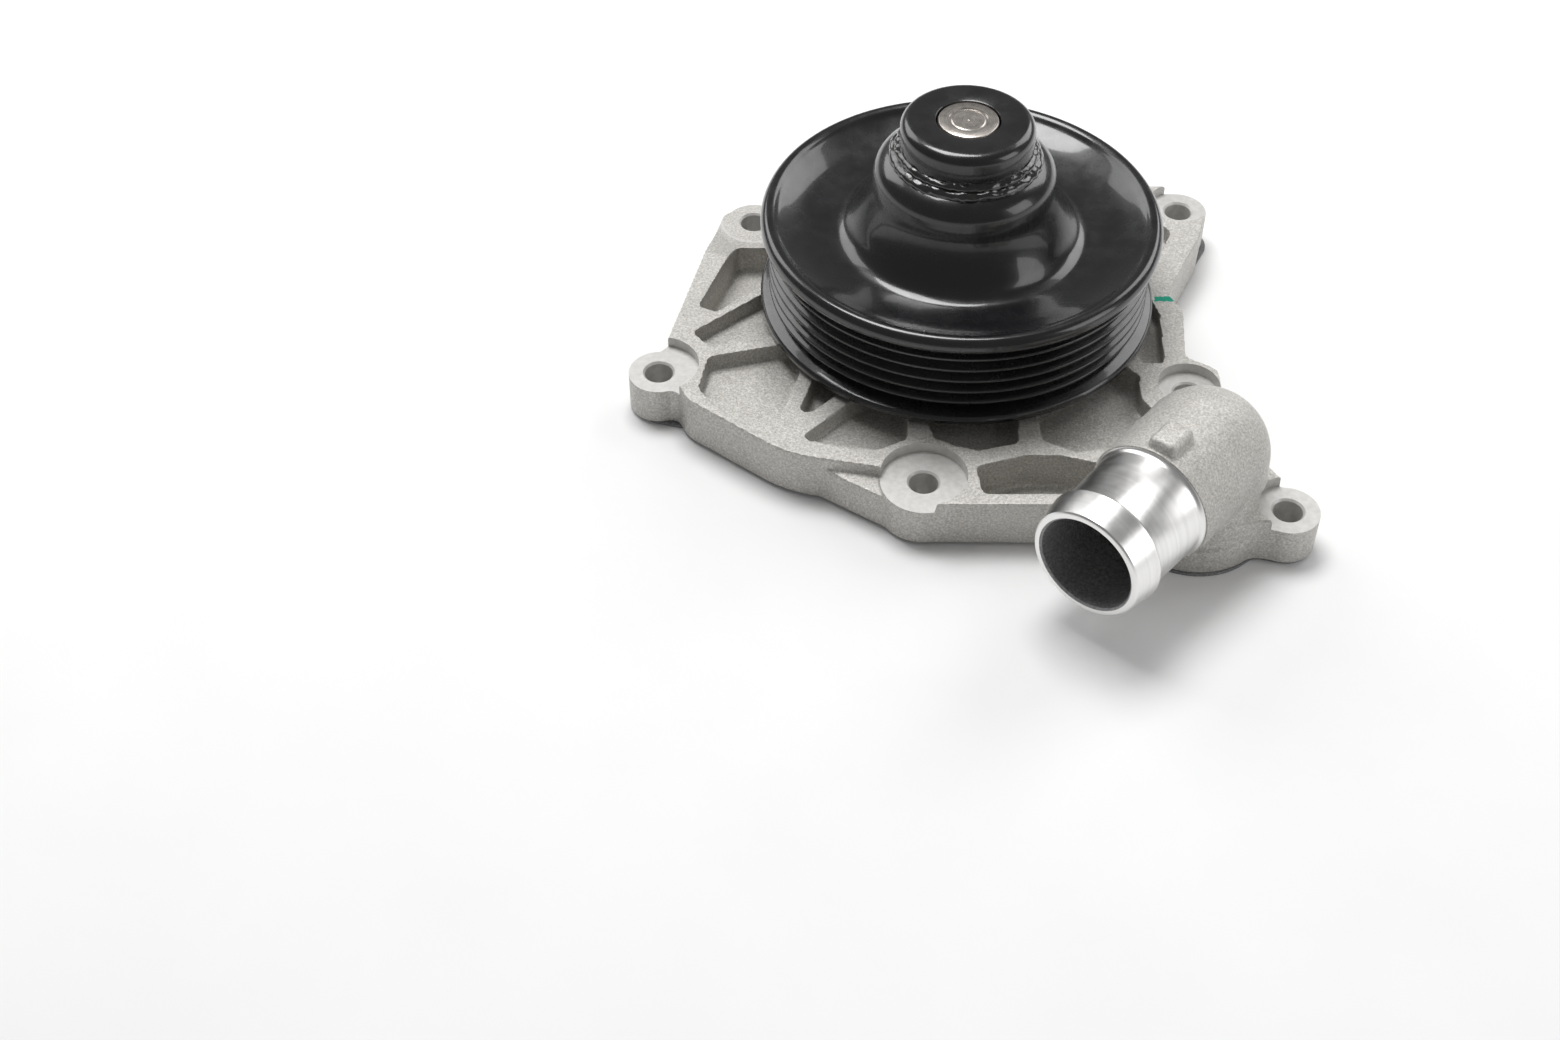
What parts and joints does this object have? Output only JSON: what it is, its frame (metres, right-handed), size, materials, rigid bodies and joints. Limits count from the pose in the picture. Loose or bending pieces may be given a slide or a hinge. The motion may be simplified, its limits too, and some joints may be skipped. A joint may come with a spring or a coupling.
{
  "type": "engine water pump",
  "caption": "Engine coolant pump: ribbed cast flange with twin volute, angled hose elbow, and a black ribbed belt pulley on a bearing shaft.",
  "frame": {"origin": "on the pulley shaft's axis, in the engine's mounting plane (the underside of the gaskets)", "axes": "+Z along the shaft from the engine towards the pulley's nose, -Y towards the hose spigot's side, +X towards the side of the inlet port"},
  "size_m": [0.1737, 0.1935, 0.0725],
  "materials": {
    "cast_aluminium": "die cast, blasted, with machined faces",
    "gasket_paper": "matt compressed fibre sheet",
    "bearing_steel": "ground",
    "seal_rubber": "matt",
    "seal_brass": "drawn",
    "spring_steel": "drawn wire",
    "seal_carbon": "lapped",
    "shaft_steel": "turned and ground",
    "pulley_paint": "gloss black dip paint",
    "impeller_metal": "as cast",
    "seal_ceramic": "lapped",
    "cage_plastic": "moulded"
  },
  "bodies": {
    "housing": {"housing": "cast_aluminium", "main_gasket": "gasket_paper", "port_gasket": "gasket_paper", "bearing_race": "bearing_steel", "front_bearing_seal": "seal_rubber", "rear_bearing_seal": "seal_rubber", "seal_cup": "seal_brass", "seal_bellows": "seal_rubber", "seal_spring": "spring_steel", "seal_face": "seal_carbon"},
    "rotor": {"shaft": "shaft_steel", "pulley_hub": "pulley_paint", "weld_bead": "pulley_paint", "pulley": "pulley_paint", "impeller": "impeller_metal", "seal_seat": "seal_ceramic"},
    "ball_cage": {"ball_cage": "cage_plastic", "ball_1": "bearing_steel", "ball_2": "bearing_steel", "ball_3": "bearing_steel", "ball_4": "bearing_steel", "ball_5": "bearing_steel", "ball_6": "bearing_steel", "ball_7": "bearing_steel", "ball_8": "bearing_steel", "ball_9": "bearing_steel"},
    "roller_cage": {"roller_cage": "cage_plastic", "roller_1": "bearing_steel", "roller_2": "bearing_steel", "roller_3": "bearing_steel", "roller_4": "bearing_steel", "roller_5": "bearing_steel", "roller_6": "bearing_steel", "roller_7": "bearing_steel", "roller_8": "bearing_steel", "roller_9": "bearing_steel", "roller_10": "bearing_steel", "roller_11": "bearing_steel", "roller_12": "bearing_steel"}
  },
  "joints": [
    {"name": "pulley_spin", "type": "hinge", "parent": "housing", "child": "rotor", "pos_m": [0, 0, 0.04], "axis": [0, 0, 1], "continuous": true},
    {"name": "ball_cage_orbit", "type": "hinge", "parent": "housing", "child": "ball_cage", "pos_m": [0, 0, 0.03], "axis": [0, 0, 1], "continuous": true},
    {"name": "roller_cage_orbit", "type": "hinge", "parent": "housing", "child": "roller_cage", "pos_m": [0, 0, 0.05], "axis": [0, 0, 1], "continuous": true}
  ],
  "couplings": [
    {"joint": "ball_cage_orbit", "follows": "pulley_spin", "ratio": 0.3812},
    {"joint": "roller_cage_orbit", "follows": "pulley_spin", "ratio": 0.4024}
  ]
}
